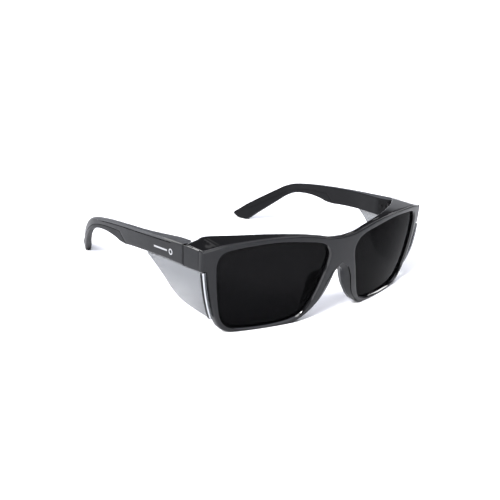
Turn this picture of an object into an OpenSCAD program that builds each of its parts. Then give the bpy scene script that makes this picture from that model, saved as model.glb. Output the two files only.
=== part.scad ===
// Safety spectacles with clear side shields. A moulded front carries a brow ledge, two lenses,
// two soft nose pads and two side shields. Two arms with soft ends fold on barrel hinges.
// Millimetres, +Z up, front towards -Y, wearer's left towards +X.
// The left half is drawn and the right half is its mirror image.

/* [Front] */
// Radius of the ball that the front face follows
face_r = 162; // [158:1:168]
// Thickness of the rims, front to back
rim_depth = 3.8; // [3.6:0.1:4.4]
// Thickness of the lenses
lens_t = 2; // [1.6:0.1:2.2]
// Depth of the groove that holds each lens edge
lens_lip = 0.5; // [0.3:0.1:0.6]
// Thickness of the brow ledge
ledge_t = 1.6; // [1.2:0.1:1.8]
// Front skin left ahead of the brow ledge
ledge_inset = 0.6; // [0.5:0.1:1]

/* [Side shields] */
// Thickness of the clear side shields
shield_t = 1.4; // [1.2:0.1:1.6]
// Radius of the shields' curve from top to bottom
shield_r = 63; // [62:1:66]
// Outward turn of the shields from front to back, degrees
shield_yaw = 3.1; // [2.9:0.1:3.3]
// Width of the black retaining strip
strip_w = 1.3; // [0.9:0.1:1.4]

/* [Nose pads] */
// Thickness of the pads at the rims
pad_t = 2.2; // [1.8:0.1:2.6]

/* [Hinges] */
// Distance of each hinge axis from the middle
hinge_x = 64; // [63.9:0.1:64.1]
// Gap between front and arm at the hinge
seam = 0.4; // [0.3:0.1:0.5]
// Radius of the hinge barrels
barrel_r = 1.5; // [1.4:0.05:1.55]
// Radius of the hinge screws
screw_r = 0.7; // [0.6:0.05:0.75]
// Thickness of the hinge plates
leaf_t = 0.8; // [0.7:0.05:0.8]
// How far the hinge plates stand out of the plastic around them
leaf_proud = 0.1; // [0.05:0.05:0.3]
// Radius of the rivets
rivet_r = 0.6; // [0.5:0.05:0.7]

/* [Hidden] */

// y of the front's outer corners, which puts the origin under the middle of the whole object
corner_y = -66.2;
// centre of the ball that the front face follows, from the outer corners
ball_y = face_r - 16.6;
ball_z = 47.1;
// rim left behind the lens groove, and how far the lens sits behind the front face
lens_back = 0.3;
lens_inset = rim_depth - lens_t - lens_back;
// clearance between a barrel and the notch around it, and between stacked knuckles
notch_clear = 0.3;
knuckle_gap = 0.1;
// running clearance of the screw in the moving knuckle
screw_clear = 0.04;
// heights of the hinge: underside, middle knuckle and top
hinge_z = [33.8, 36.4, 38.8, 41];
// hinge axis and the arm's front face, from the outer corners
hinge_y = 15;
face_y = 13.8;
// arm face at the hinge, and how far the plates reach from the axis
arm_face_x = hinge_x + 0.4;
leaf_end = 9;
// rivet places along the plates, from the hinge axis
rivet_at = [4, 7.2];
rivet_head = [1, 0.3];
rivet_len = 1.9;
// underside of the end piece at the corner and at the hinge
end_z = [33.3, 32.3];
// inner face of the end piece, and the bare faces of the plates
end_inner_x = 63.4;
front_leaf_x = end_inner_x - leaf_proud;
arm_leaf_x = arm_face_x - leaf_proud;
// fit between a pad and the rim in front of it
pad_gap = 0.05;
// clear shield: inner face at the top of the front edge, and height of its most upright line
shield_x = 68.2;
shield_z = 36;

$fn = 64;
ball_fn = 200;

// a smooth line through the given points, with steps short stretches between two of them
function mix4(a, b, c, d, t) =
    0.5 * (2 * b + (c - a) * t + (2 * a - 5 * b + 4 * c - d) * t * t + (3 * b - a - 3 * c + d) * t * t * t);
function smooth(p, steps = 4) = let (n = len(p) - 1) [
    for (i = [0 : n - 1]) for (s = [0 : steps - 1])
        mix4(p[max(i - 1, 0)], p[i], p[i + 1], p[min(i + 2, n)], s / steps),
    p[n],
];
// the same, round a closed outline
function smooth_loop(p, steps = 4) = let (n = len(p)) [
    for (i = [0 : n - 1]) for (s = [0 : steps - 1])
        mix4(p[(i + n - 1) % n], p[i], p[(i + 1) % n], p[(i + 2) % n], s / steps),
];
function reverse(p) = [for (i = [len(p) - 1 : -1 : 0]) p[i]];
// a left half outline from the middle line round to it again, and its mirror image
function both_halves(p) = concat(p, [for (q = reverse(p)) if (q[0] > 0.001) [-q[0], q[1]]]);
// an outline moved outwards by d
function grow(p, d) = let (n = len(p)) [
    for (i = [0 : n - 1]) let (t = p[(i + 1) % n] - p[(i + n - 1) % n])
        p[i] + d * [-t[1], t[0]] / norm(t),
];

// front outline in x and z: top, outer side, foot and nose arch
front_top = smooth([
    [0, 41.9], [7, 42.4], [14, 43.9], [23, 45.6], [34, 46.4], [45, 46.3], [57, 45.5], [63.5, 44.6], [67.5, 43.9], [70, 43],
]);
front_side = smooth([[67.9, end_z[0]], [66.8, 26], [64.8, 17.5], [62, 9.3], [58.8, 3], [55, 0.6]]);
front_foot = [[52, 0], [24, 0]];
front_nose = smooth([[19.6, 1.2], [14.2, 4.6], [9.6, 9], [6.4, 14], [4.2, 19], [2.4, 24], [0, 26.4]]);
front_outline = both_halves(concat(front_top, [[70, end_z[0]]], front_side, front_foot, front_nose));

// lens opening of the left rim
opening = smooth_loop([
    [37, 44.1], [26, 43], [16, 41.3], [11, 39.2], [8.5, 35.5], [8.7, 31], [10.5, 25], [12.9, 17.3],
    [15.7, 10.2], [19.2, 5.1], [24.5, 2.6], [32, 1.7], [40.6, 1.5], [50, 2.1], [55.6, 4], [59, 8.2],
    [61, 15], [62.6, 24.6], [63.4, 33.5], [63.1, 37.5], [61.2, 41], [57, 42.6], [48, 43.7],
], 3);

// brow ledge: its height across the front, and its rear edge seen from above
ledge_top = smooth([
    [0, 42.3], [8, 43], [14, 44.5], [22, 46], [30, 46.9], [38, 47.1], [48, 46.7], [56, 46], [61.5, 45.3], [64.5, 44.5],
    [67.5, 43.7], [70, 43],
]);
ledge_rear = smooth([
    [0, -13.3], [10, -13.1], [19, -12], [28, -9.9], [34, -7.6], [40, -4.2], [49, 1.3], [56, 7], [63.2, face_y - seam],
]);
ledge_side_x = [69.4, 70.2];

// arm seen from the side, in y and z
arm_low = smooth([
    [face_y, 32.4], [30, 31.5], [44, 30.2], [56, 28.9], [65.5, 27.6], [72, 27.1], [79, 28], [88, 28.2],
    [97, 27.2], [104, 25.4], [110.5, 22.3], [118, 16.9], [128, 9.1], [139.3, 0],
], 3);
arm_tip = [[142.4, 0], [147.4, 1.5], [148.9, 2.9], [148.5, 4.1]];
arm_top = smooth([
    [147, 5.1], [143.5, 7.7], [139.9, 10.4], [128, 18.4], [117, 25.4], [110.5, 29.1], [104, 31.6], [96, 33.3], [84, 35.3],
    [66, 37.6], [44, 39.9], [26, 41.6], [face_y, 42.7],
], 3);
// arm seen from above, in x and y
arm_outer = smooth([
    [70.8, face_y], [71.2, 25], [71.7, 36], [72.2, 50], [72.3, 66], [72.2, 84], [71.8, 98], [71.2, 108],
    [69.4, 117], [66.6, 126], [63.3, 134.5], [59.8, 143.5], [57.8, 150],
], 3);
arm_inner = smooth([
    [53.6, 149.4], [57.2, 140], [60.6, 131.5], [63.8, 124], [66.6, 116], [68.3, 108], [68.8, 98],
    [69.1, 84], [69.1, 66], [68.7, 54], [67.9, 45], [66.6, 37], [65.2, 29.5], [arm_face_x, 24.2],
], 3);
// seam of the soft ear grip, in y and z: everything below and behind it is soft
grip_seam = [
    [65.5, 20], [65.5, 27.6], [72.3, 32.7], [84, 31.6], [95, 30], [105, 27.2], [115, 22], [124, 16.6],
    [131, 12.2], [137.7, 8.3], [141.4, 12], [152, 12], [152, -2], [62, -2],
];

// clear shield seen from the side, in y and z, and its front edge from top to foot
shield_front = smooth([[-0.9, 33], [-0.8, 27], [-0.3, 20.7], [0.7, 14.5], [2.1, 8.5]]);
shield_outline = concat(
    [shield_front[0], [0.4, 32.8], [15, 31.8], [30, 31], [45.3, 29.7]],
    smooth([[44, 28.7], [38.5, 25.2], [33.4, 20.8], [29.3, 15.6], [25.4, 12], [20, 10], [13.5, 9.2]]),
    [for (i = [len(shield_front) - 1 : -1 : 1]) shield_front[i]]
);
strip_from = 1.1;

// nose pad: x and z of its nasal edge at the rim, its rear edge in y and z, and its outward flare
pad_edge = smooth([[14.8, 3.8], [11.9, 6.5], [8.9, 10.3], [6.8, 14], [5.2, 18], [4.2, 21.5], [3.8, 24.4]]);
pad_rear = smooth([[-5, 3], [-3.2, 6.3], [-2.3, 10.3], [-1.9, 14], [-1.7, 18], [-2.8, 21.3], [-6, 24], [-9, 25]]);
pad_flare = 29;

module seat() {
    translate([0, corner_y, 0]) children();
}

module opposite() {
    mirror([1, 0, 0]) children();
}

// a ball inside the front face by the given depth
module ball(depth) {
    translate([0, ball_y, ball_z]) sphere(r = face_r - depth, $fn = ball_fn);
}

// what lies between two depths behind the front face
module face_shell(near, far) {
    intersection() {
        difference() {
            ball(near);
            ball(far);
        }
        translate([-75, -20, -5]) cube([150, 60, 60]);
    }
}

// an outline in x and z, drawn from y0 to y1
module front_view(outline, y0 = -20, y1 = 20) {
    translate([0, y1, 0]) rotate([90, 0, 0]) linear_extrude(y1 - y0) polygon(outline);
}

// an outline in y and z, drawn from x0 to x1
module side_view(outline, x0, x1) {
    translate([x0, 0, 0]) rotate([90, 0, 90]) linear_extrude(x1 - x0) polygon(outline);
}

// an outline in x and y, drawn from z0 to z1
module plan_view(outline, z0, z1) {
    translate([0, 0, z0]) linear_extrude(z1 - z0) polygon(outline);
}

module at_hinge() {
    translate([hinge_x, hinge_y, 0]) children();
}

// room for the hinge barrel, open below for the screw
module hinge_notch() {
    at_hinge() translate([0, 0, 28]) cylinder(r = barrel_r + notch_clear, h = hinge_z[3] + notch_clear - 28);
}

// seat for a hinge plate and its rivets: x is the plate's bare face, side is -1 on the front and 1 on the arm
module leaf_seat(x, side) {
    at_hinge() {
        translate([x - hinge_x, side > 0 ? 1 : -leaf_end, hinge_z[0]])
            cube([leaf_t, leaf_end - 1, hinge_z[3] - hinge_z[0]]);
        for (y = rivet_at)
            translate([x - hinge_x, side * y, (hinge_z[0] + hinge_z[3]) / 2])
                rotate([0, 90, 0]) cylinder(r = rivet_r, h = leaf_t + rivet_len, $fn = 32);
    }
}

// block that carries the hinge behind each outer corner
module end_piece() {
    intersection() {
        plan_view([[70, -6], [70, 0], [70.8, face_y - seam], [end_inner_x, face_y - seam], [end_inner_x, 4],
            [60, 0], [60, -8]], 30, 46);
        side_view([[-10, end_z[0]], [0, end_z[0]], [hinge_y, end_z[1]], [hinge_y, 43.6], [0, 44.4], [-10, 46]], 59, 72);
        front_view(concat([[59, 30]], [for (q = front_top) if (q[0] >= 59) q], [[71.5, 42.7], [71.5, 30]]));
        ball(0);
    }
}

// rail behind the rim that the clear shield sits on
module shield_rail() {
    intersection() {
        shield_tube(1.5, 0.04);
        side_view([[-0.8, 32], [5, 32], [8, 10.2], [1.7, 10.2]], 50, 72);
    }
}

module front_half() {
    end_piece();
    shield_rail();
}

module front_frame() {
    color("#33343a") seat() difference() {
        union() {
            intersection() {
                face_shell(0, rim_depth);
                front_view(front_outline);
            }
            front_half();
            opposite() front_half();
        }
        ledge_room();
        for (side = [0, 1]) mirror([side, 0, 0]) {
            front_view(opening);
            lens_solid(0.02);
            hinge_notch();
            leaf_seat(front_leaf_x, -1);
        }
    }
}

// where the brow ledge lies, seen from above
function ledge_plan() = both_halves(concat(
    [[0, -20], [ledge_side_x[0], -20], [ledge_side_x[0], -1], [ledge_side_x[1], face_y - seam]],
    reverse(ledge_rear)
));
function ledge_band() = both_halves(concat(ledge_top, reverse([for (q = ledge_top) q - [0, ledge_t]])));

module ledge_room() {
    intersection() {
        front_view(both_halves(concat([[0, 50], [75, 50]], reverse([for (q = ledge_top) q - [0, ledge_t]]))));
        plan_view(ledge_plan(), 30, 50);
        ball(ledge_inset);
    }
}

module brow_guard() {
    color("#0c0c0e") seat() intersection() {
        front_view(ledge_band());
        plan_view(ledge_plan(), 30, 50);
        ball(ledge_inset);
    }
}

module lens_solid(extra = 0) {
    intersection() {
        face_shell(lens_inset - extra, lens_inset + lens_t + extra);
        front_view(grow(opening, -lens_lip - extra));
    }
}

module lens_left() {
    color("#0a0b0e", 0.85) seat() lens_solid();
}

// y of the rims' rear face
function rim_back(x, z) = ball_y - sqrt(pow(face_r - rim_depth, 2) - x * x - pow(z - ball_z, 2));
// the pad's nasal edge as it looks along the flare
pad_line = [for (q = pad_edge) [q[0] * cos(pad_flare) - rim_back(q[0], q[1]) * sin(pad_flare), q[1]]];

module nose_pad_left() {
    color("#1d1e20") seat() intersection() {
        rotate([0, 0, -pad_flare])
            front_view(concat(pad_line, reverse([for (q = pad_line) q + [pad_t, 0]])), -30, 30);
        side_view(concat(pad_rear, [[-20, 25], [-20, 3]]), 0, 40);
        ball(rim_depth + pad_gap);
    }
}

// curved wall of the shield: near and far are measured from its inner face, inwards positive
module shield_tube(inside, outside) {
    rotate([0, 0, -shield_yaw]) translate([shield_x - shield_r + shield_t, 60, shield_z]) rotate([90, 0, 0])
        difference() {
            cylinder(r = shield_r - shield_t - outside, h = 80, $fn = 160);
            translate([0, 0, -1]) cylinder(r = shield_r - shield_t - inside, h = 82, $fn = 160);
        }
}

// the strip's place along the front edge, from the rim side
function strip_band() = let (foot = shield_front[len(shield_front) - 1] - [0, 0.6], line = concat(
    [for (q = shield_front) if (q[1] < 32.6) q], [foot]
)) concat(
    [[shield_front[0][0] + strip_from, 32.65]], [for (q = line) q + [strip_from, 0]],
    reverse([for (q = line) q + [strip_from + strip_w, 0]]), [[shield_front[0][0] + strip_from + strip_w, 32.6]]
);

module side_shield_left() {
    color("#c3c6cc", 0.4) seat() difference() {
        intersection() {
            shield_tube(0, -shield_t);
            side_view(shield_outline, 50, 76);
        }
        intersection() {
            shield_tube(-shield_t / 2, -shield_t - 1);
            side_view(strip_band(), 50, 76);
        }
    }
}

module shield_strip_left() {
    color("#0b0b0c") seat() intersection() {
        shield_tube(-shield_t / 2, -shield_t - 0.15);
        side_view(strip_band(), 50, 76);
    }
}

// one knuckle on the hinge axis
module knuckle(z0, z1, bore) {
    at_hinge() translate([0, 0, z0]) difference() {
        cylinder(r = barrel_r, h = z1 - z0);
        translate([0, 0, -1]) cylinder(r = bore, h = z1 - z0 + 2);
    }
}

// the plate beside the barrel: side is -1 on the front and 1 on the arm
module leaf_plate(x, side, from) {
    y0 = min(side * from, side * leaf_end);
    at_hinge() difference() {
        translate([x - hinge_x, y0, hinge_z[0]]) cube([leaf_t, leaf_end - from, hinge_z[3] - hinge_z[0]]);
        for (y = rivet_at)
            translate([-3, side * y, (hinge_z[0] + hinge_z[3]) / 2])
                rotate([0, 90, 0]) cylinder(r = rivet_r, h = 6, $fn = 32);
    }
}

module hinge_front_leaf_left() {
    x = front_leaf_x;
    color("#8d9096") seat() difference() {
        union() {
            leaf_plate(x, -1, 2);
            for (z = [[hinge_z[0], hinge_z[1] - knuckle_gap], [hinge_z[2] + knuckle_gap, hinge_z[3]]]) {
                knuckle(z[0], z[1], screw_r);
                at_hinge() translate([x - hinge_x, -2.1, z[0]]) cube([leaf_t, 1.2, z[1] - z[0]]);
            }
        }
        at_hinge() cylinder(r = screw_r, h = 60);
    }
}

module hinge_temple_leaf_left() {
    x = arm_leaf_x;
    color("#8d9096") seat() difference() {
        union() {
            leaf_plate(x, 1, 2.1);
            knuckle(hinge_z[1], hinge_z[2], screw_r + screw_clear);
            at_hinge() translate([x - hinge_x, 1, hinge_z[1]]) cube([leaf_t, 1.2, hinge_z[2] - hinge_z[1]]);
        }
        at_hinge() cylinder(r = screw_r + screw_clear, h = 60);
    }
}

module hinge_screw_left() {
    head = [1.15, 0.6];
    slot = [0.3, 0.3];
    color("#b4b7bc") seat() at_hinge() difference() {
        translate([0, 0, hinge_z[0] - head[1]]) {
            cylinder(r = head[0], h = head[1]);
            cylinder(r = screw_r, h = hinge_z[3] - hinge_z[0] + head[1]);
        }
        translate([-2, -slot[0] / 2, hinge_z[0] - head[1] - 1]) cube([4, slot[0], 1 + slot[1]]);
    }
}

// two rivets through a plate: x is the plate's bare face
module rivet_pair(x, side) {
    for (y = rivet_at)
        translate([x - rivet_head[1], hinge_y + side * y, (hinge_z[0] + hinge_z[3]) / 2]) rotate([0, 90, 0]) {
            cylinder(r = rivet_head[0], h = rivet_head[1], $fn = 32);
            cylinder(r = rivet_r, h = rivet_head[1] + leaf_t + rivet_len, $fn = 32);
        }
}

module front_leaf_rivets() {
    color("#b4b7bc") seat() for (side = [0, 1]) mirror([side, 0, 0]) rivet_pair(front_leaf_x, -1);
}

module temple_leaf_rivets_left() {
    color("#b4b7bc") seat() rivet_pair(arm_leaf_x, 1);
}

// the whole arm with its soft end
module arm() {
    intersection() {
        side_view(concat(arm_low, arm_tip, arm_top), 50, 75);
        plan_view(concat(arm_outer, arm_inner, [[arm_face_x, face_y]]), -1, 45);
    }
}

module temple_left() {
    color("#3d3f44") seat() difference() {
        arm();
        side_view(grip_seam, 49, 76);
        hinge_notch();
        leaf_seat(arm_leaf_x, 1);
    }
}

module ear_grip_left() {
    color("#26272a") seat() intersection() {
        arm();
        side_view(grip_seam, 49, 76);
    }
}

front_frame();
brow_guard();
lens_left();
opposite() lens_left();  // lens_right
nose_pad_left();
opposite() nose_pad_left();  // nose_pad_right
side_shield_left();
opposite() side_shield_left();  // side_shield_right
shield_strip_left();
opposite() shield_strip_left();  // shield_strip_right
hinge_front_leaf_left();
opposite() hinge_front_leaf_left();  // hinge_front_leaf_right
front_leaf_rivets();
hinge_screw_left();
opposite() hinge_screw_left();  // hinge_screw_right
temple_left();
opposite() temple_left();  // temple_right
hinge_temple_leaf_left();
opposite() hinge_temple_leaf_left();  // hinge_temple_leaf_right
temple_leaf_rivets_left();
opposite() temple_leaf_rivets_left();  // temple_leaf_rivets_right
ear_grip_left();
opposite() ear_grip_left();  // ear_grip_right
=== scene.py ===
"""Safety spectacles: finished surfaces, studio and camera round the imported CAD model.

Shapes are written in millimetres from the line through the front's two outer corners, as in the CAD:
x to the wearer's left, y backwards, z up from the resting plane.
"""
from math import cos, radians, sin, tan

import bpy
import numpy as np
from mathutils import Matrix, Vector
from mathutils.geometry import delaunay_2d_cdt


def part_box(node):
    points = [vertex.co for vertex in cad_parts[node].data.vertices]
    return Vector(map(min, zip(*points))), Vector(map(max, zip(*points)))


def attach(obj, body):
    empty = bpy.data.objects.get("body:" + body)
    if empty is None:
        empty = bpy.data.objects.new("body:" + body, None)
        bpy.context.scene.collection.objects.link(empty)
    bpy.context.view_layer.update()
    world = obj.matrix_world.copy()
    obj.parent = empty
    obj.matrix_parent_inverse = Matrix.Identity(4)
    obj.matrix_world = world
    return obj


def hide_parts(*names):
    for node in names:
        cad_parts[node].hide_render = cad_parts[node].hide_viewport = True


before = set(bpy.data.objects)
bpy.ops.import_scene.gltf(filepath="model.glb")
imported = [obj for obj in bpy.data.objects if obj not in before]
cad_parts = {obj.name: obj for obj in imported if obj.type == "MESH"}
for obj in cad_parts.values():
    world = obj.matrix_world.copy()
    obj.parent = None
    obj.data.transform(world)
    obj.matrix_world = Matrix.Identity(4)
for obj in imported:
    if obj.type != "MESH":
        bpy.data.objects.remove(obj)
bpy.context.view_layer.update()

MM = 0.001
# how far the arm tips end behind the front's outer corners, and from it the corners' y in the shared frame
TIP_Y = 148.9
CORNER_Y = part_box("ear_grip_left")[1][1] / MM - TIP_Y

# ball that the front face follows, and thickness of the rims
BALL_R, BALL_Y, BALL_Z = 162.0, 145.4, 47.1
RIM_DEPTH = 3.8
# lens: how far behind the front face, thickness, and how far its edge reaches into the rim
LENS_INSET, LENS_T, LENS_LIP = 1.5, 2.0, 0.45
# brow ledge: how far behind the front face, and thickness
LEDGE_INSET, LEDGE_T = 0.6, 1.6
# the arm's front face, and the end piece's rear face, a seam ahead of it
FACE_Y = 13.8
REAR_Y = FACE_Y - 0.4

# front in x and z, from the middle of the brow round to the middle of the nose arch
FRONT_TOP = [
    (0, 41.9), (7, 42.4), (14, 43.9), (23, 45.6), (34, 46.4), (45, 46.3), (57, 45.4), (62, 44.7),
    (65, 43.9), (67.5, 43.2), (70, 42.6),
]
FRONT_SIDE = [(67.9, 33.3), (66.8, 26), (64.8, 17.5), (62, 9.3), (58.8, 3), (55, 0.6), (51, 0.02)]
FRONT_NOSE = [(24.5, 0.02), (19.6, 1.2), (14.2, 4.6), (9.6, 9), (6.4, 14), (4.2, 19), (2.4, 24), (0, 26.4)]
# the left opening, all round
OPENING = [
    (37, 44.1), (26, 43), (16, 41.3), (11, 39.2), (8.5, 35.5), (8.7, 31), (10.5, 25), (12.9, 17.3),
    (15.7, 10.2), (19.2, 5.1), (24.5, 2.6), (32, 1.7), (40.6, 1.5), (50, 2.1), (55.6, 4), (59, 8.2),
    (61, 15), (62.6, 24.6), (63.4, 33.5), (63.1, 37.5), (61.2, 41), (57, 42.6), (48, 43.7),
]
# front edge round the openings: width and depth of the bevel
BEVEL_EDGE = (0.7, 0.9)
# edge of the front: plain, and rolled round the nose arch, with its width and depth over height
PLAIN_EDGE = 0.45
ARCH_X, ARCH_Z = 24, 27
FLANK_Z = [0, 1.2, 4.6, 9, 14, 19, 24, 26.4]
FLANK_WIDTH = [0.45, 0.8, 1.3, 2.2, 3.4, 4.0, 3.0, 2.0]
FLANK_DEPTH = [0.45, 0.7, 1.2, 1.5, 1.6, 1.6, 1.6, 1.5]
# brow ledge: height over x, rear edge in x and y, and x of its outer end, front and rear
LEDGE_TOP = [
    (0, 42.3), (8, 43), (14, 44.5), (22, 46), (30, 46.9), (38, 47.1), (48, 46.7), (56, 46),
    (61.5, 45.3), (64.5, 44.5), (67.5, 43.7), (70, 43),
]
LEDGE_REAR = [
    (0, -13.3), (10, -13.1), (19, -12), (28, -9.9), (34, -7.6), (40, -4.2), (49, 1.3), (56, 7), (63.2, 13.4),
]
LEDGE_SIDE = (69.4, 70.2)
# where the ledge starts to roll down towards the arm, and how much lower the end piece's top lies
ROLL_Y = 9.5
END_DROP = 0.15
# arm in y and z, and from above in x and y
ARM_LOW = [
    (13.8, 32.4), (30, 31.5), (44, 30.2), (56, 28.9), (65.5, 27.6), (72, 27.1), (79, 28), (88, 28.2),
    (97, 27.2), (104, 25.4), (110.5, 22.3), (118, 16.9), (128, 9.1), (139.3, 0.05),
]
ARM_TIP = [(139.3, 0.05), (142.4, 0.05), (145.2, 0.5), (147.4, 1.4), (148.8, 2.8), (148.3, 4.1), (147, 5.1)]
ARM_TOP = [
    (147, 5.1), (143.5, 7.7), (139.9, 10.4), (128, 18.4), (117, 25.4), (110.5, 29.1), (104, 31.6),
    (96, 33.3), (84, 35.3), (66, 37.6), (44, 39.9), (26, 41.6), (13.8, 42.7),
]
ARM_OUTER = [
    (70.8, 13.8), (71.2, 25), (71.7, 36), (72.2, 50), (72.3, 66), (72.2, 84), (71.8, 98), (71.2, 108),
    (69.4, 117), (66.6, 126), (63.3, 134.5), (59.8, 143.5), (57.8, 150),
]
ARM_INNER = [
    (64.4, 13.8), (64.4, 24.2), (65.2, 29.5), (66.6, 37), (67.9, 45), (68.7, 54), (69.1, 66), (69.1, 84),
    (68.8, 98), (68.3, 108), (66.6, 116), (63.8, 124), (60.6, 131.5), (57.2, 140), (53.6, 149.4),
]
GRIP_SEAM = [
    (72.3, 32.7), (84, 31.6), (95, 30), (105, 27.2), (115, 22), (124, 16.6), (131, 12.2), (137.7, 8.3),
]
# groove under the arm's top edge: how far its two sides lie below it, and where it starts and ends
GROOVE = (1.1, 1.6)
GROOVE_RUN = (24, 93)
# edges of the arm: underside, seam of the grip, the grip, and width and depth of its top, in front and behind
LOW_EDGE, SEAM_EDGE, GRIP_EDGE = 0.5, 0.24, 0.9
TOP_EDGE = ((0.35, 0.8), (0.35, 0.6))
# mark printed on the arm: middle of the ring in y and z, its two radii, the bar's corners, and height
RING_Y, RING_Z, RING_RADII = 24.0, 36.0, (1.5, 0.9)
BAR = [(27, 35.4), (38, 34.6), (38.05, 35.4), (27.05, 36.2)]
PRINT_T = 0.05
# hinge axis in x and y, and its notch
HINGE = (64, 15)
NOTCH_R = 1.8
# clear shield: x of its outer face in front, radius and middle height of its upright curve, outward turn,
# and thickness
SHIELD_X, SHIELD_R, SHIELD_Z, SHIELD_TURN, SHIELD_T = 69.6, 63.0, 36.0, radians(3.1), 1.4
SHIELD_FRONT = [(-0.9, 33), (-0.8, 27), (-0.3, 20.7), (0.7, 14.5), (2.1, 8.5)]
SHIELD_TOP = [(0.4, 32.8), (15, 31.8), (30, 31), (45.3, 29.7)]
SHIELD_REAR = [(44, 28.7), (38.5, 25.2), (33.4, 20.8), (29.3, 15.6), (25.4, 12), (20, 10), (13.5, 9.2)]
# along its front edge: where the strip and the fine line start, and how wide they are
STRIP = (1.1, 1.3)
HEM_LINE = (0.3, 0.5)
# nose pad: nasal edge at the rim in x and z, rear edge in y and z, outward flare
PAD_EDGE = [(14.8, 3.8), (11.9, 6.5), (8.9, 10.3), (6.8, 14), (5.2, 18), (4.2, 21.5), (3.8, 24.4)]
PAD_REAR = [(-5, 3), (-3.2, 6.3), (-2.3, 10.3), (-1.9, 14), (-1.7, 18), (-2.8, 21.3), (-6, 24), (-9, 25)]
PAD_FLARE, PAD_T = radians(29), 2.2


# ---------------------------------------------------------------- lines and outlines

def spline(points, steps=8):
    """A smooth line through the points."""
    p = np.array(points, float)
    n = len(p) - 1
    out = []
    for i in range(n):
        a, b, c, d = p[max(i - 1, 0)], p[i], p[i + 1], p[min(i + 2, n)]
        for t in np.arange(steps) / steps:
            bend, twist = 2 * a - 5 * b + 4 * c - d, 3 * b - a - 3 * c + d
            out.append(0.5 * (2 * b + (c - a) * t + bend * t**2 + twist * t**3))
    return np.array(out + [p[n]])


def spline_loop(points, steps=8):
    """A smooth closed line through the points, its first point not repeated."""
    p = list(points)
    return spline(p[-2:] + p + p[:2], steps)[2 * steps : -steps][: len(p) * steps]


def even(line, spacing):
    """The same line with points at equal distances."""
    line = np.array(line, float)
    run = np.r_[0, np.cumsum(np.linalg.norm(np.diff(line, axis=0), axis=1))]
    at = np.linspace(0, run[-1], max(2, int(round(run[-1] / spacing)) + 1))
    return np.stack([np.interp(at, run, line[:, k]) for k in range(line.shape[1])], 1)


def chain(lines, spacing):
    """Lines laid end to end as one closed outline, with the number of the line each point is on."""
    parts = [even(line, spacing)[:-1] for line in lines]
    return np.concatenate(parts), np.concatenate([np.full(len(q), i) for i, q in enumerate(parts)])


def mirrored(lines):
    """A left half outline's lines, then those of its mirror image, back to the start."""
    return lines + [np.array(line)[::-1] * (-1, 1) for line in lines[::-1]]


def area(loop):
    """Area of the outline, negative if it runs clockwise."""
    x, y = loop[:, 0], loop[:, 1]
    return 0.5 * np.sum(x * np.roll(y, -1) - np.roll(x, -1) * y)


def anticlockwise(loop):
    """The same outline, turned round if it runs clockwise."""
    return loop[::-1] if area(loop) < 0 else loop


def shifted(loop, dist, inwards):
    """The outline moved sideways, with corners kept."""
    side = (1 if inwards else -1) * np.sign(area(loop))
    tangent = np.roll(loop, -1, 0) - loop
    tangent /= np.linalg.norm(tangent, axis=1)[:, None]
    after = np.stack([-tangent[:, 1], tangent[:, 0]], 1)
    before = np.roll(after, 1, 0)
    middle = before + after
    middle /= np.linalg.norm(middle, axis=1)[:, None]
    stretch = np.clip(np.sum(middle * after, 1), 0.4, 1)
    return loop + side * (np.broadcast_to(dist, len(loop)) / stretch)[:, None] * middle


def eased(loop, edge):
    """Edge widths without jumps, and kept well under the outline's own width where it narrows."""
    share, nearer, far = 0.38, 2.2, 99
    n = len(loop)
    apart = np.abs(np.arange(n)[:, None] - np.arange(n))
    run = np.minimum(apart, n - apart) * np.mean(np.linalg.norm(np.roll(loop, -1, 0) - loop, axis=1))
    gap = np.linalg.norm(loop[:, None] - loop[None], axis=2)
    # points much nearer across the outline than along it are on its other side
    room = share * np.min(np.where(run > nearer * gap, gap, far), axis=1, where=apart > 0, initial=far)
    edge = np.minimum(edge, room)
    for _ in range(3):
        edge = (np.roll(edge, 1) + 2 * edge + np.roll(edge, -1)) / 4
    return np.minimum(edge, room)


def inside(points, loop):
    """Which of the points lie inside the outline."""
    a, b = loop, np.roll(loop, -1, 0)
    x, y = points[:, 0][:, None], points[:, 1][:, None]
    crossing = (a[:, 1] > y) != (b[:, 1] > y)
    rise = np.where(b[:, 1] == a[:, 1], 1e-9, b[:, 1] - a[:, 1])
    return (crossing & (x < (b[:, 0] - a[:, 0]) * (y - a[:, 1]) / rise + a[:, 0])).sum(1) % 2 == 1


# ---------------------------------------------------------------- meshes

# edge profiles from the cap to the wall: share of the width still inset, and share of the depth gone down
ROUND = [(1 - sin(a), 1 - cos(a)) for a in np.radians([0, 18, 36, 54, 72, 90])]
CHAMFER = [(1, 0), (0.9, 0.03), (0.08, 0.88), (0, 1)]
BEVEL = [(1, 0), (0.82, 0.04), (0.72, 0.13), (0.15, 0.8), (0, 1)]


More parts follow.
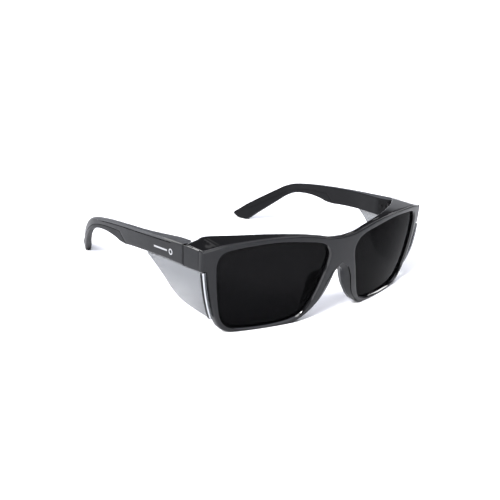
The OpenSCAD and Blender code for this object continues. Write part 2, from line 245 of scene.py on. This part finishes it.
def filled(loops, spacing, cuts):
    """Triangles between the first loop and the others. A cut is (outline, wall width, depth), with a sunk
    floor. Gives points, how deep each is sunk, and triangles; the loops' points come first."""
    # rows of the triangle grid, and room kept round the fixed points, in spacings
    row, clear = 0.87, 0.55
    rings = list(loops)
    sunk = [np.zeros(len(ring)) for ring in loops]
    for outline, wall, depth in cuts:
        rings += [outline, shifted(outline, wall, True)]
        sunk += [np.zeros(len(outline)), np.full(len(outline), depth)]
    fixed = np.concatenate(rings)
    low, high = loops[0].min(0), loops[0].max(0)
    gx, gy = np.meshgrid(np.arange(low[0], high[0], spacing), np.arange(low[1], high[1], spacing * row))
    gx = gx + (np.arange(len(gx)) % 2)[:, None] * spacing / 2
    grid = np.stack([gx.ravel(), gy.ravel()], 1)
    grid = grid[inside(grid, loops[0])]
    for hole in loops[1:]:
        grid = grid[~inside(grid, hole)]
    near = np.min(np.linalg.norm(grid[:, None] - fixed[None], axis=2), axis=1)
    grid = grid[near > clear * spacing]
    depth = np.zeros(len(grid))
    for outline, wall, sink in cuts:
        depth[inside(grid, shifted(outline, wall, True))] = sink
    points = np.concatenate([fixed, grid])
    edges, start = [], 0
    for ring in rings:
        n = len(ring)
        edges += [(start + i, start + (i + 1) % n) for i in range(n)]
        start += n
    _, _, faces, source, _, _ = delaunay_2d_cdt([Vector(p) for p in points], edges, [], 0, 1e-7)
    back = [s[0] for s in source]
    triangles = np.array([[back[i] for i in f] for f in faces])
    centre = points[triangles].mean(1)
    keep = inside(centre, loops[0])
    for hole in loops[1:]:
        keep &= ~inside(centre, hole)
    return points, np.concatenate(sunk + [depth]), triangles[keep]


def plate(loops, place, thick, front, back, spacing, cuts=()):
    """A shaped plate. loops: outline and holes in 2D. place(points, depth) gives 3D. thick(points) is the
    thickness. front and back: for each loop (inset, depth, profile) of its edge. cuts are in its front."""
    loops = [loop if (area(loop) > 0) == (k == 0) else loop[::-1] for k, loop in enumerate(loops)]
    verts, faces = [], []
    count = 0

    def add(points):
        nonlocal count
        verts.append(points)
        count += len(points)
        return count - len(points)

    caps = []
    for edge, rear in ((front, False), (back, True)):
        rims = [shifted(loop, edge[k][0], k == 0) for k, loop in enumerate(loops)]
        points, sunk, triangles = filled(rims, spacing, () if rear else cuts)
        start = add(place(points, thick(points) if rear else sunk))
        faces += [tuple(start + i for i in (t if rear else t[::-1])) for t in triangles]
        caps.append(start)
    first = 0
    for k, loop in enumerate(loops):
        n = len(loop)
        rings = [caps[0] + first]
        for inset, drop in front[k][2][1:]:
            ring = shifted(loop, front[k][0] * inset, k == 0)
            rings.append(add(place(ring, np.broadcast_to(front[k][1] * drop, n))))
        for inset, drop in back[k][2][:0:-1]:
            ring = shifted(loop, back[k][0] * inset, k == 0)
            rings.append(add(place(ring, thick(ring) - back[k][1] * drop)))
        rings.append(caps[1] + first)
        for a, b in zip(rings, rings[1:]):
            faces += [(a + i, a + (i + 1) % n, b + (i + 1) % n, b + i) for i in range(n)]
        first += n
    return np.concatenate(verts), faces


def loft(rings):
    """A closed skin over rings of equal length."""
    n, m = len(rings[0]), len(rings)
    faces = [
        (r * n + i, r * n + (i + 1) % n, (r + 1) * n + (i + 1) % n, (r + 1) * n + i)
        for r in range(m - 1) for i in range(n)
    ]
    return np.concatenate(rings), faces + [tuple(range(n))[::-1], tuple((m - 1) * n + i for i in range(n))]


def piece(name, shape, side, body, nodes, surface, finishes_and_painted_light=()):
    """One mesh object in the shared frame. side -1 is the mirror image, on the wearer's right.
    finishes_and_painted_light: pairs of another material, for a finish or for painted light and shade, and a
    test of face centres, in left side millimetres."""
    sharp = radians(32)
    verts, faces = shape
    points = (verts * (side, 1, 1) + (0, CORNER_Y, 0)) * MM
    mesh = bpy.data.meshes.new(name)
    mesh.from_pydata(points.tolist(), [], [tuple(int(i) for i in f) for f in faces])
    obj = bpy.data.objects.new(name, mesh)
    bpy.context.collection.objects.link(obj)
    bpy.context.view_layer.objects.active = obj
    obj.select_set(True)
    bpy.ops.object.mode_set(mode="EDIT")
    bpy.ops.mesh.select_all(action="SELECT")
    bpy.ops.mesh.normals_make_consistent(inside=False)
    bpy.ops.object.mode_set(mode="OBJECT")
    obj.select_set(False)
    mesh.shade_smooth()
    mesh.set_sharp_from_angle(angle=sharp)
    mesh.materials.append(surface)
    for index, (finish_or_painted_light, test) in enumerate(finishes_and_painted_light, 1):
        mesh.materials.append(finish_or_painted_light)
        centres = np.array([f.center for f in mesh.polygons]) / MM * (side, 1, 1) - (0, CORNER_Y, 0)
        for i in np.flatnonzero(test(centres)):
            mesh.polygons[int(i)].material_index = index
    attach(obj, body)
    if nodes:
        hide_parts(*nodes)


# ---------------------------------------------------------------- materials

def material(name, colour, rough, spec=0.5, alpha=1.0, ior=1.5, mottle=0.05, grain=None, smear=0.05):
    """A plastic, rubber, metal or glass surface. mottle varies the colour, smear varies the gloss, and
    grain = (size mm, height mm) is a moulded texture."""
    m = bpy.data.materials.new(name)
    m.use_nodes = True
    tree = m.node_tree
    shader = tree.nodes["Principled BSDF"]
    shader.inputs["Base Color"].default_value = (*colour, 1)
    shader.inputs["Roughness"].default_value = rough
    shader.inputs["Specular IOR Level"].default_value = spec
    shader.inputs["IOR"].default_value = ior
    shader.inputs["Alpha"].default_value = alpha
    place = tree.nodes.new("ShaderNodeTexCoord").outputs["Object"]

    def noise(size, detail=4.0):
        node = tree.nodes.new("ShaderNodeTexNoise")
        node.inputs["Scale"].default_value = 1 / (size * MM)
        node.inputs["Detail"].default_value = detail
        tree.links.new(place, node.inputs["Vector"])
        return node.outputs["Fac"]

    def ramp(source, stops):
        node = tree.nodes.new("ShaderNodeValToRGB")
        for stop, (at, tone) in zip(node.color_ramp.elements, stops):
            stop.position = at
            stop.color = (*tone, 1)
        tree.links.new(source, node.inputs["Fac"])
        return node.outputs["Color"]

    dark = [c * (1 - mottle) for c in colour]
    light = [c * (1 + mottle) for c in colour]
    tree.links.new(ramp(noise(6), [(0.3, dark), (0.7, light)]), shader.inputs["Base Color"])
    polished, dull = (max(rough - smear, 0.02),) * 3, (rough + smear,) * 3
    tree.links.new(ramp(noise(9, 3), [(0.3, polished), (0.75, dull)]), shader.inputs["Roughness"])
    if grain:
        bump = tree.nodes.new("ShaderNodeBump")
        bump.inputs["Strength"].default_value = 0.5
        bump.inputs["Distance"].default_value = grain[1] * MM
        tree.links.new(noise(grain[0], 3), bump.inputs["Height"])
        tree.links.new(bump.outputs["Normal"], shader.inputs["Normal"])
    return m


def steel(name, tone, rough):
    """Dark brushed metal."""
    m = material(name, (tone, tone, tone * 1.02), rough, mottle=0.12, grain=(0.25, 0.01), smear=0.08)
    m.node_tree.nodes["Principled BSDF"].inputs["Metallic"].default_value = 1
    return m


MOULDED = dict(mottle=0.08, grain=(0.22, 0.02), smear=0.05)
SATIN = material("satin_front", (0.0085, 0.0088, 0.01), 0.36, 0.21, **MOULDED)
ARM_SATIN = material("satin_arm", (0.008, 0.0084, 0.0096), 0.38, 0.12, **MOULDED)
GLOSS = material("gloss_brow", (0.004, 0.004, 0.0045), 0.035, mottle=0.1, smear=0.01)
SMOKE = material("smoke_lens", (0.0015, 0.0015, 0.0018), 0.05, 0.007, alpha=0.93, mottle=0.1, smear=0.02)
SHEET = dict(ior=1.58, smear=0.03)
CLEAR = material("clear_shield", (0.072, 0.078, 0.085), 0.08, 0.3, alpha=0.62, mottle=0.04, **SHEET)
# painted highlight: a light, nearly opaque copy of the clear sheet for the shield's front edge, standing in
# for the edge catching the light
PAINTED_HEM_HIGHLIGHT = material("clear_hem_painted_highlight", (0.42, 0.435, 0.46), 0.12, 0.4, alpha=0.92, mottle=0.03, **SHEET)
STRIP_BLACK = material("strip_black", (0.003, 0.003, 0.0035), 0.4, 0.08, mottle=0.1)
PAD_SOFT = material("soft_pad", (0.008, 0.008, 0.009), 0.5, 0.25, mottle=0.08, grain=(0.3, 0.02))
# painted shade: a darker copy of the arm's satin for the arms' inner faces
ARM_INSIDE_PAINTED_SHADE = material("satin_inside_painted_shade", (0.0055, 0.0056, 0.0064), 0.42, 0.07, **MOULDED)
# painted light: a lighter copy of the arm's satin for its top band, as if lit from above
ARM_TOP_PAINTED_LIGHT = material("satin_top_painted_light", (0.03, 0.031, 0.035), 0.38, 0.3, **MOULDED)
# painted shade: black for the walls of seams, grooves and creases, where shade falls
SEAM_PAINTED_SHADE = material("seam_painted_shade", (0.002, 0.002, 0.002), 0.6, 0.05, smear=0.03)
GRIP_SOFT = material("soft_grip", (0.008, 0.0084, 0.0095), 0.48, 0.1, mottle=0.08, grain=(0.3, 0.03))
STEEL = steel("hinge_steel", 0.01, 0.4)
RIVET = steel("rivet_steel", 0.014, 0.38)
PRINT = material("pale_print", (0.3, 0.305, 0.32), 0.4)

# ---------------------------------------------------------------- front

def on_ball(points, depth):
    """Points in x and z, at a depth behind the front face."""
    x, z = points[:, 0], points[:, 1]
    return np.stack([x, BALL_Y - np.sqrt((BALL_R - depth) ** 2 - x**2 - (z - BALL_Z) ** 2), z], 1)


def same(value):
    """The same thickness everywhere."""
    return lambda points: np.full(len(points), float(value))


def nose_edge(loop):
    """Width, depth and profile of the rolled flank round the nose arch, and of the plain edge elsewhere."""
    x, z = np.abs(loop[:, 0]), loop[:, 1]
    nose = (x < ARCH_X) & (z < ARCH_Z)
    width = np.where(nose, np.interp(z, FLANK_Z, FLANK_WIDTH), PLAIN_EDGE)
    depth = np.where(nose, np.interp(z, FLANK_Z, FLANK_DEPTH), PLAIN_EDGE)
    crease = np.where(nose, np.interp(z, [1, 4, 23, 26], [0, 1, 1, 0]), 0)
    step = [(0.98 - 0.05 * crease, 0.05 + 0.17 * crease), (0.95 - 0.12 * crease, 0.08 + 0.03 * crease)]
    return width, depth, [(1, 0), *step, (0.5, 0.46), (0.12, 0.86), (0, 1)]


def front_outline():
    """The front's whole outline, drawn as its left half and mirrored."""
    corner = [(70, 43), (70, 33.3)]
    half = [
        spline(FRONT_TOP), corner, [corner[1], FRONT_SIDE[0]], spline(FRONT_SIDE),
        [FRONT_SIDE[-1], FRONT_NOSE[0]], spline(FRONT_NOSE),
    ]
    return anticlockwise(chain(mirrored(half), 0.8)[0])


opening = even(np.r_[spline_loop(OPENING), [OPENING[0]]], 0.8)[:-1]


def front_moulding():
    """Both rims and the bridge, with the two openings."""
    outline = front_outline()
    bevel, plain = (*BEVEL_EDGE, BEVEL), (0.35, 0.35, ROUND)
    return plate(
        [outline, opening, opening * (-1, 1)], on_ball, same(RIM_DEPTH),
        front=[nose_edge(outline), bevel, bevel],
        back=[(0.5, 0.5, ROUND), plain, plain],
        spacing=1.3,
    )


def off_opening(c):
    """Distance from the edge of the openings, and depth behind the front face."""
    flat = np.c_[np.abs(c[:, 0]), c[:, 2]]
    deep = BALL_R - np.sqrt(c[:, 0] ** 2 + (c[:, 1] - BALL_Y) ** 2 + (c[:, 2] - BALL_Z) ** 2)
    return np.min(np.linalg.norm(flat[:, None] - opening[None], axis=2), axis=1), deep


# tests of face centres c in x, y and z, for the finishes and the painted shade of the front
RIM_REACH = 0.8


def in_bevel(c):
    """Front bevels and walls of the two openings."""
    off, deep = off_opening(c)
    return (off < RIM_REACH) & (deep > 0.02) & (deep < RIM_DEPTH - 0.5)


def in_crease_shade(c):
    """Crease where the rolled flank of the nose arch starts, painted black as shade there."""
    off, deep = off_opening(c)
    arch = (np.abs(c[:, 0]) < 23) & (c[:, 2] < 25.5) & (c[:, 2] > 2)
    return arch & (off > RIM_REACH) & (deep > 0.05) & (deep < 0.3)


ledge_line = spline(LEDGE_TOP)


def ledge_height(x):
    """Height of the ledge's top, the same on both sides."""
    return np.interp(np.abs(x), ledge_line[:, 0], ledge_line[:, 1])


def rear_drop(p):
    """How far the ledge rolls down towards the arm at its outer ends; p in x and y."""
    along = np.clip((p[:, 1] - ROLL_Y) / (REAR_Y - ROLL_Y), 0, 1)
    return along**2 * np.interp(np.abs(p[:, 0]), [58, 64, 70.8], [0, 1.1, 0.6])


def end_piece():
    """Block behind each outer corner, drawn from above, with a round notch for the hinge."""
    turns = np.radians(np.linspace(-63, -109, 5))
    notch = [(HINGE[0] + NOTCH_R * cos(a), HINGE[1] + NOTCH_R * sin(a)) for a in turns]
    outer = [(70, 2), (70.8, REAR_Y)]
    inner, front = (63.4, 0), [(64.5, -1), (68.8, 1)]
    lines = [
        outer, [outer[1], notch[0]], notch, [notch[-1], inner],
        [inner, front[0]], front, [front[1], outer[0]],
    ]
    loop, line = chain(lines, 0.5)
    # a clear edge outside, a small one behind, none where it joins the front
    edge = np.select([line == 0, line < 4], [0.35, 0.2], 0.02)
    top = lambda p: ledge_height(p[:, 0]) - END_DROP - rear_drop(p)
    place = lambda p, d: np.c_[p, top(p) - d]
    deep = lambda p: top(p) - np.interp(p[:, 1], [0, REAR_Y], [33.3, 32.3])
    return plate([loop], place, deep, [(edge, edge, CHAMFER)], [(edge, edge, ROUND)], 1.2)


def in_top_edge(c):
    """The end piece's polished outer top edge."""
    below = ledge_height(c[:, 0]) - END_DROP - rear_drop(c) - c[:, 2]
    return (c[:, 0] > 69.55) & (below > 0.01) & (below < 0.36)


def brow_ledge():
    """Thin glossy shelf, drawn from above, that follows the brow's height."""
    xs = np.linspace(0, LEDGE_SIDE[0], 60)
    front = on_ball(np.stack([xs, ledge_height(xs) - LEDGE_T / 2], 1), LEDGE_INSET)[:, :2]
    corner = (LEDGE_SIDE[1], REAR_Y)
    half = [front, [front[-1], corner], [corner, LEDGE_REAR[-1]], spline(LEDGE_REAR)[::-1]]
    loop = chain(mirrored(half), 0.8)[0]
    place = lambda p, d: np.c_[p, ledge_height(p[:, 0]) - rear_drop(p) - d]
    return plate([loop], place, same(LEDGE_T), [(0.3, 0.3, ROUND)], [(0.25, 0.25, ROUND)], 1.6)


def smoke_lens():
    """Curved lens, a little larger than its opening all round."""
    edge = [(0.2, 0.2, ROUND)]
    place = lambda p, d: on_ball(p, d + LENS_INSET)
    return plate([shifted(opening, LENS_LIP, False)], place, same(LENS_T), edge, edge, 2.5)


def nose_pad():
    """Soft flange from the rim's nasal edge, flaring outwards to a rounded rear edge."""
    edge, rear = spline(PAD_EDGE), spline(PAD_REAR)
    out = np.array([sin(PAD_FLARE), cos(PAD_FLARE)])
    across = np.array([out[1], -out[0]])
    foot, head = [(4.0, 0.5), (4.2, 0.8), (4.6, 0.95)], [(23.7, 0.95), (24.1, 0.8), (24.3, 0.5)]
    rings = []
    for z, shrink in foot + [(z, 1) for z in np.linspace(5, 23.2, 22)] + head:
        x = np.interp(z, edge[:, 1], edge[:, 0])
        start = on_ball(np.array([[x, z]]), RIM_DEPTH - 0.8)[0][:2]
        end_y = np.interp(z, rear[:, 1], rear[:, 0])
        length = max((end_y - start[1]) / out[1], 1.6)
        # inner side, round rear edge, outer side
        ring = [(u * length, 0.0) for u in (0, 0.2, 0.4, 0.6, 0.75)]
        tip, half = length * 0.9, 0.62
        ring += [(tip + half * cos(a), half + half * sin(a)) for a in np.radians([-70, -35, 0, 35, 70])]
        ring += [(u * length, PAD_T * (1 - 0.42 * u)) for u in (0.75, 0.6, 0.4, 0.2, 0)]
        ring = np.array(ring)
        middle = ring.mean(0)
        ring = middle + (ring - middle) * shrink
        rings.append(np.array([[*(start + out * a + across * b), z] for a, b in ring]))
    return loft(rings)


# ---------------------------------------------------------------- side shields

def on_shield(points, depth):
    """Points in y and z, at a depth behind the shield's outer face."""
    y, z = points[:, 0], points[:, 1]
    drop = SHIELD_R - np.sqrt(SHIELD_R**2 - (z - SHIELD_Z) ** 2)
    return np.stack([SHIELD_X - drop + tan(SHIELD_TURN) * y - depth, y, z], 1)


def shield_edge(z):
    """y of the shield's front edge at a height."""
    line = spline(SHIELD_FRONT)[::-1]
    return np.interp(z, line[:, 1], line[:, 0])


def shield_band(start, wide, low):
    """A band behind the shield's front edge: where it starts, its width, and the height of its foot."""
    z = np.linspace(SHIELD_FRONT[0][1] - 0.5, low, 12)
    a, b = [np.c_[shield_edge(z) + shift, z] for shift in (start, start + wide)]
    return anticlockwise(chain([a, [a[-1], b[-1]], b[::-1], [b[0], a[0]]], 0.5)[0])


def side_shield():
    """Clear sheet with a fine sunk line along its front edge."""
    lines = [
        [SHIELD_FRONT[0], *SHIELD_TOP], spline(SHIELD_TOP[-1:] + SHIELD_REAR),
        [SHIELD_REAR[-1], SHIELD_FRONT[-1]], spline(SHIELD_FRONT)[::-1],
    ]
    edge = [(0.25, 0.25, ROUND)]
    line = shield_band(*HEM_LINE, 9.3)
    loop = chain(lines, 0.8)[0]
    return plate([loop], on_shield, same(SHIELD_T), edge, edge, 2.0, [(line, 0.12, 0.2)])


def shield_strip():
    """Black strip, standing a little out of the shield's outer face."""
    thick, proud = 0.9, 0.15
    place = lambda p, d: on_shield(p, d - proud)
    loop = shield_band(*STRIP, 8.1)
    return plate([loop], place, same(thick), [(0.08, 0.08, ROUND)], [(0.1, 0.1, ROUND)], 1.5)


# ---------------------------------------------------------------- arms

arm_out, arm_in = spline(ARM_OUTER), spline(ARM_INNER)


def arm_x_out(y):
    """x of the arm's outer face."""
    return np.interp(y, arm_out[:, 1], arm_out[:, 0])


def arm_x_in(y):
    """x of the arm's inner face, with the notch round the hinge."""
    around = np.sqrt(np.clip(NOTCH_R**2 - (y - HINGE[1]) ** 2, 0, None))
    return np.maximum(np.interp(y, arm_in[:, 1], arm_in[:, 0]), np.where(around > 0, HINGE[0] + around, 0))


def on_arm(points, depth):
    """Points in y and z, at a depth behind the arm's outer face."""
    return np.stack([arm_x_out(points[:, 0]) - depth, points[:, 0], points[:, 1]], 1)


def arm_thick(points):
    """Thickness of the arm, from its outer to its inner face."""
    return arm_x_out(points[:, 0]) - arm_x_in(points[:, 0])


# the seam leaves the arm's underside at one point of ARM_LOW and meets its top at one of ARM_TOP
STEPS = 8
SEAM_LOW, SEAM_TOP = 4, 2
low, top = spline(ARM_LOW, STEPS), spline(ARM_TOP, STEPS)
seam_at, grip_at = SEAM_LOW * STEPS, SEAM_TOP * STEPS
seam = [[ARM_LOW[SEAM_LOW], GRIP_SEAM[0]], spline(GRIP_SEAM), [GRIP_SEAM[-1], ARM_TOP[SEAM_TOP]]]


def top_groove():
    """Outline of the groove under the arm's top edge."""
    at = np.linspace(*GROOVE_RUN, 60)
    rim = np.interp(at, top[::-1, 0], top[::-1, 1])
    high, foot = np.c_[at, rim - GROOVE[0]], np.c_[at, rim - GROOVE[1]]
    return chain([foot, [foot[-1], high[-1]], high[::-1], [high[0], foot[0]]], 0.6)[0]


def temple():
    """Arm without its grip. Line 0 of its outline is the underside, line 4 the top, between them the seam."""
    loop, line = chain([low[: seam_at + 1], *seam, top[grip_at:], [ARM_TOP[-1], ARM_LOW[0]]], 0.8)
    wide, tall = [np.interp(loop[:, 0], [16, 30], pair) for pair in TOP_EDGE]
    low_or_top = [line == 0, line == 4]
    edge, deep = [eased(loop, np.select(low_or_top, [LOW_EDGE, size], SEAM_EDGE)) for size in (wide, tall)]
    front, back = [(edge, deep, CHAMFER)], [(edge / 2, edge / 2, ROUND)]
    return plate([loop], on_arm, arm_thick, front, back, 1.3, [(top_groove(), 0.1, 0.3)])


def ear_grip():
    """Soft part under the bend and over the tip; lines 0 to 2 of its outline are the seam."""
    lines = [line[::-1] for line in seam[::-1]]
    loop, line = chain([*lines, low[seam_at:], spline(ARM_TIP), top[: grip_at + 1]], 0.8)
    edge = eased(loop, np.where(line > 2, GRIP_EDGE, SEAM_EDGE))
    return plate([loop], on_arm, arm_thick, [(edge, edge, ROUND)], [(edge, edge, ROUND)], 1.3)


def under_top(c):
    """How far below the arm's top, and how far inwards of its outer face."""
    return np.interp(c[:, 1], top[::-1, 0], top[::-1, 1]) - c[:, 2], arm_x_out(c[:, 1]) - c[:, 0]


def in_seam_shade(c):
    """Walls of the grip's seam and of the groove under the arm's top edge, and the arm's front end, painted
    black as shade.
    """
    path = np.concatenate([even(q, 0.2) for q in seam])
    off = np.min(np.linalg.norm(c[:, None, 1:] - path[None], axis=2), axis=1)
    drop, deep = under_top(c)
    along = (c[:, 1] > GROOVE_RUN[0] - 0.1) & (c[:, 1] < GROOVE_RUN[1] + 0.1)
    across = (drop > GROOVE[0] - 0.01) & (drop < GROOVE[1] + 0.01)
    groove = along & across & (deep > 0.02) & (deep < 0.5)
    return groove | (off < 0.16) | (c[:, 1] < FACE_Y + 0.3)


def in_front_edge(c):
    """The polished outer top edge of the arm's front end."""
    drop, deep = under_top(c)
    return (c[:, 1] < 30) & (drop > 0.01) & (drop < 0.5) & (deep > 0.01) & (deep < 0.5)


def in_lit_top_band(c):
    """The band above the groove, with the arm's top, painted lighter as light falls on it from above."""
    drop, deep = under_top(c)
    along = (c[:, 1] > FACE_Y + 0.3) & (c[:, 1] < 112)
    return along & (drop < np.interp(c[:, 1], [16, 30], [0.4, GROOVE[0]])) & (deep < 7)


def shaded_inner_side(c):
    """The inner face of the arm and its inner edges, painted darker as shade."""
    return c[:, 0] < arm_x_in(c[:, 1]) + 0.7


def in_hem_highlight(c):
    """The clear front edge of the shield, ahead of the strip, seen from outside, where a painted highlight
    goes.
    """
    outer = on_shield(c[:, 1:], 0)[:, 0]
    return (c[:, 1] - shield_edge(c[:, 2]) < STRIP[0] + 0.05) & (outer - c[:, 0] < SHIELD_T / 2)


def printed(loops):
    """A thin plate that stands a little out of the arm's outer face."""
    edge = [(0.03, 0.03, ROUND)] * len(loops)
    return plate(loops, lambda p, d: on_arm(p, d - PRINT_T), same(2 * PRINT_T), edge, edge, 1)


def printed_ring():
    """A small generic ring."""
    turns = np.radians(np.arange(0, 360, 12))
    circle = np.c_[np.cos(turns), np.sin(turns)]
    return printed([circle * r + (RING_Y, RING_Z) for r in RING_RADII])


def printed_bar():
    """A short generic bar behind the ring."""
    return printed([chain(list(zip(BAR, BAR[1:] + BAR[:1])), 0.5)[0]])


# ---------------------------------------------------------------- both sides

# the crease at the nose arch carries painted shade
piece("front_moulding", front_moulding(), 1, "front", ["front_frame"], SATIN,
      finishes_and_painted_light=[(GLOSS, in_bevel), (SEAM_PAINTED_SHADE, in_crease_shade)])
piece("brow_ledge", brow_ledge(), 1, "front", ["brow_guard"], GLOSS)
shapes = {
    "end": end_piece(), "lens": smoke_lens(), "pad": nose_pad(), "shield": side_shield(),
    "strip": shield_strip(), "temple": temple(), "grip": ear_grip(),
}
# painted shade on the arms' inner faces and in their seams
painted_shade_inside_and_seam = [(ARM_INSIDE_PAINTED_SHADE, shaded_inner_side), (SEAM_PAINTED_SHADE, in_seam_shade)]
for side, hand in ((1, "left"), (-1, "right")):
    arm = "arm_" + hand
    piece("end_piece_" + hand, shapes["end"], side, "front", [], ARM_SATIN,
          finishes_and_painted_light=[(GLOSS, in_top_edge)])
    piece("smoke_lens_" + hand, shapes["lens"], side, "front", ["lens_" + hand], SMOKE)
    piece("soft_pad_" + hand, shapes["pad"], side, "front", ["nose_pad_" + hand], PAD_SOFT)
    # the shield's front edge carries a painted highlight
    piece("clear_shield_" + hand, shapes["shield"], side, "front", ["side_shield_" + hand], CLEAR,
          finishes_and_painted_light=[(PAINTED_HEM_HIGHLIGHT, in_hem_highlight)])
    piece("black_strip_" + hand, shapes["strip"], side, "front", ["shield_strip_" + hand], STRIP_BLACK)
    # the arms carry painted light on their top band, and painted shade on their inner faces and in their
    # seams
    piece("arm_moulding_" + hand, shapes["temple"], side, arm, ["temple_" + hand], ARM_SATIN,
          finishes_and_painted_light=[(ARM_TOP_PAINTED_LIGHT, in_lit_top_band), (GLOSS, in_front_edge), *painted_shade_inside_and_seam])
    piece("soft_grip_" + hand, shapes["grip"], side, arm, ["ear_grip_" + hand], GRIP_SOFT,
          finishes_and_painted_light=[(ARM_TOP_PAINTED_LIGHT, in_lit_top_band), *painted_shade_inside_and_seam])
    for node in ("hinge_front_leaf_", "hinge_temple_leaf_", "hinge_screw_"):
        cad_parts[node + hand].material_slots[0].material = STEEL
    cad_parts["temple_leaf_rivets_" + hand].material_slots[0].material = RIVET
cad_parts["front_leaf_rivets"].material_slots[0].material = RIVET
piece("printed_ring", printed_ring(), -1, "arm_right", [], PRINT)
piece("printed_bar", printed_bar(), -1, "arm_right", [], PRINT)

# ---------------------------------------------------------------- studio

def floor(reach=60):
    """A wide matt white floor; reach in metres."""
    mesh = bpy.data.meshes.new("floor")
    corners = [(-reach, -reach, 0), (reach, -reach, 0), (reach, reach, 0), (-reach, reach, 0)]
    mesh.from_pydata(corners, [], [(0, 1, 2, 3)])
    obj = bpy.data.objects.new("floor", mesh)
    bpy.context.collection.objects.link(obj)
    white = bpy.data.materials.new("floor_white")
    white.use_nodes = True
    shader = white.node_tree.nodes["Principled BSDF"]
    shader.inputs["Base Color"].default_value = (0.97, 0.97, 0.985, 1)
    shader.inputs["Roughness"].default_value = 0.9
    shader.inputs["Specular IOR Level"].default_value = 0.1
    mesh.materials.append(white)


def lamp(name, at, target, size, power, turn=0):
    """A soft rectangular light; places in metres in the shared frame, turn in degrees about its own axis."""
    light = bpy.data.lights.new(name, "AREA")
    light.shape = "RECTANGLE"
    light.size, light.size_y = size
    light.energy = power
    obj = bpy.data.objects.new(name, light)
    obj.location = at
    aim = (Vector(target) - Vector(at)).to_track_quat("-Z", "Y").to_matrix()
    obj.rotation_euler = (aim @ Matrix.Rotation(radians(turn), 3, "Z")).to_euler()
    bpy.context.collection.objects.link(obj)


def sun(name, towards, strength, spread, colour=(1, 1, 1)):
    """A soft even light from one direction, spread in degrees."""
    light = bpy.data.lights.new(name, "SUN")
    light.color = colour
    light.energy = strength
    light.angle = radians(spread)
    obj = bpy.data.objects.new(name, light)
    obj.rotation_euler = Vector(towards).to_track_quat("-Z", "Y").to_euler()
    bpy.context.collection.objects.link(obj)


def sky(tree, tones):
    """A sky that changes with height: (sine of the height angle, brightness)."""
    direction = tree.nodes.new("ShaderNodeTexCoord").outputs["Generated"]
    split = tree.nodes.new("ShaderNodeSeparateXYZ")
    tree.links.new(direction, split.inputs["Vector"])
    scale = tree.nodes.new("ShaderNodeMapRange")
    scale.inputs["From Min"].default_value = -1
    tree.links.new(split.outputs["Z"], scale.inputs["Value"])
    ramp = tree.nodes.new("ShaderNodeValToRGB")
    for _ in tones[2:]:
        ramp.color_ramp.elements.new(0.5)
    for stop, (height_at, tone) in zip(ramp.color_ramp.elements, tones):
        stop.position = (height_at + 1) / 2
        stop.color = (0.92 * tone, 0.94 * tone, tone, 1)
    tree.links.new(scale.outputs["Result"], ramp.inputs["Fac"])
    tree.links.new(ramp.outputs["Color"], tree.nodes["Background"].inputs["Color"])


floor()
sun("key", (1.2, 0.5, -1), 5.2, 16)
sun("dome", (0, 0, -1), 2.5, 80, (0.88, 0.9, 1))
lamp("back_soft", (-0.48, 0.71, 0.43), (-0.07, 0, 0.035), (0.5, 0.42), 2.4)
lamp("bevel_glint_left", (0.787, -0.119, 0.46), (0.035, -0.066, 0), (0.24, 0.07), 0.75)
lamp("bevel_glint_right", (-0.39, -0.436, 0.7), (-0.03, -0.066, 0), (0.28, 0.28), 2)
lamp("edge_line", (-0.362, 0.627, 0.546), (-0.07, -0.06, 0.043), (0.1, 0.1), 0.5)
lamp("streak_a", (0.2, 0.644, 0.538), (-0.064, -0.06, 0.044), (0.07, 0.016), 0.0013, 75)
lamp("streak_b", (0.258, 0.64, 0.505), (-0.062, -0.064, 0.044), (0.07, 0.02), 0.0011, 75)
lamp("streak_right", (0.56, 0.51, 0.47), (0.022, -0.08, 0.046), (0.05, 0.015), 0.008, 42)

world = bpy.data.worlds.new("studio")
bpy.context.scene.world = world
world.use_nodes = True
sky(world.node_tree, [(-1, 0.5), (0.2, 0.5), (0.3, 0.07), (1, 0.07)])
bpy.context.scene.view_settings.view_transform = "Standard"

# camera: direction it looks from, roll, focal length and sensor in mm, the point it looks at, and distance
AZIMUTH, ELEVATION, ROLL = radians(-37.26), radians(19.585), radians(1.644)
LENS, SENSOR = 53.64, 36
TARGET = Vector((0, 57.39 + CORNER_Y, 13.17)) * MM
DISTANCE = 415.1 * MM
away = Vector((sin(AZIMUTH) * cos(ELEVATION), -cos(AZIMUTH) * cos(ELEVATION), sin(ELEVATION)))
camera = bpy.data.objects.new("camera", bpy.data.cameras.new("camera"))
bpy.context.collection.objects.link(camera)
camera.data.lens = LENS
camera.data.sensor_width = SENSOR
camera.data.clip_start = 0.01
camera.location = TARGET + away * DISTANCE
camera.rotation_euler = (away.to_track_quat("Z", "Y").to_matrix() @ Matrix.Rotation(ROLL, 3, "Z")).to_euler()
bpy.context.scene.camera = camera
